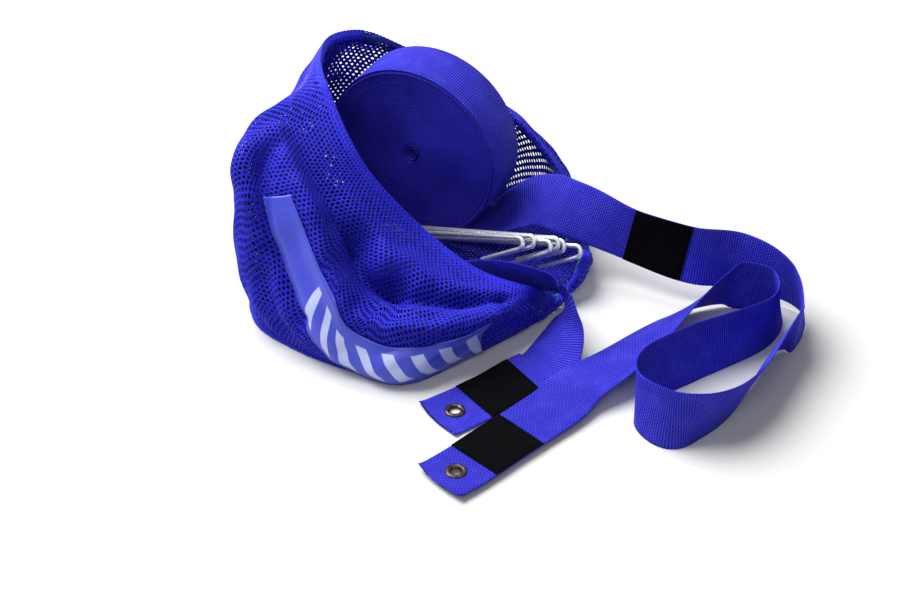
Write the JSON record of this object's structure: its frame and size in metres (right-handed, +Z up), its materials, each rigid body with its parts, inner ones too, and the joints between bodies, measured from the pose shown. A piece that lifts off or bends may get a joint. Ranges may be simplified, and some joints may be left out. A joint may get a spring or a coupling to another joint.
{
  "type": "court boundary line set",
  "caption": "Drawstring mesh bag with rolled ribbed webbing boundary lines, free tails with eyelets and hook-and-loop patches, and wire J-pegs.",
  "frame": {"origin": "centre of the bounding box, on the ground", "axes": "+Z up, -Y towards the free ends of the straps, +X towards the loops of the long strap"},
  "size_m": [0.4801, 0.4739, 0.17],
  "materials": {
    "mesh": "knitted mesh, satin",
    "label": "woven satin",
    "cord": "braided",
    "lock": "moulded",
    "spring": "drawn wire",
    "webbing": "ribbed webbing",
    "hook_tape": "hook and loop pile",
    "eyelet": "antique, turned dark",
    "peg_wire": "galvanised"
  },
  "bodies": {
    "bag": {"mesh_bag": "mesh", "base_panel": "mesh", "label_band": "label", "drawcord": "cord", "roll_b": "webbing", "tail_b": "webbing", "patch_b_end": "hook_tape", "eyelet_b": "eyelet", "eyelet_b_washer": "eyelet"},
    "roll_a": {"roll_a": "webbing", "tail_a": "webbing", "patch_a_mid": "hook_tape", "patch_a_end": "hook_tape", "eyelet_a": "eyelet", "eyelet_a_washer": "eyelet"},
    "cord_lock": {"cord_lock_body": "lock", "cord_lock_spring": "spring"},
    "cord_lock_button": {"cord_lock_button": "lock"},
    "peg_1": {"peg_1": "peg_wire"},
    "peg_2": {"peg_2": "peg_wire"},
    "peg_3": {"peg_3": "peg_wire"},
    "peg_4": {"peg_4": "peg_wire"},
    "peg_5": {"peg_5": "peg_wire"},
    "peg_6": {"peg_6": "peg_wire"}
  },
  "joints": [
    {"name": "roll_a_lift", "type": "slide", "parent": "bag", "child": "roll_a", "axis": [0, 0, 1], "range_m": [0, 0.2]},
    {"name": "cord_lock_slide", "type": "slide", "parent": "bag", "child": "cord_lock", "axis": [0, 0, 1], "range_m": [-0.012, 0.004]},
    {"name": "cord_lock_press", "type": "slide", "parent": "cord_lock", "child": "cord_lock_button", "axis": [-0.6428, 0.766, 0], "range_m": [0, 0.003], "stiffness_N_per_m": 400, "springref_m": -0.002, "deforming": ["cord_lock_spring"]},
    {"name": "peg_1_draw", "type": "slide", "parent": "bag", "child": "peg_1", "axis": [0.8155, -0.506, 0.281], "range_m": [0, 0.15]},
    {"name": "peg_2_draw", "type": "slide", "parent": "bag", "child": "peg_2", "axis": [0.8147, -0.5151, 0.2661], "range_m": [0, 0.15]},
    {"name": "peg_3_draw", "type": "slide", "parent": "bag", "child": "peg_3", "axis": [0.8155, -0.506, 0.281], "range_m": [0, 0.15]},
    {"name": "peg_4_draw", "type": "slide", "parent": "bag", "child": "peg_4", "axis": [0.816, -0.4966, 0.2957], "range_m": [0, 0.15]},
    {"name": "peg_5_draw", "type": "slide", "parent": "bag", "child": "peg_5", "axis": [0.8147, -0.5151, 0.2661], "range_m": [0, 0.15]},
    {"name": "peg_6_draw", "type": "slide", "parent": "bag", "child": "peg_6", "axis": [0.8155, -0.506, 0.281], "range_m": [0, 0.15]}
  ]
}
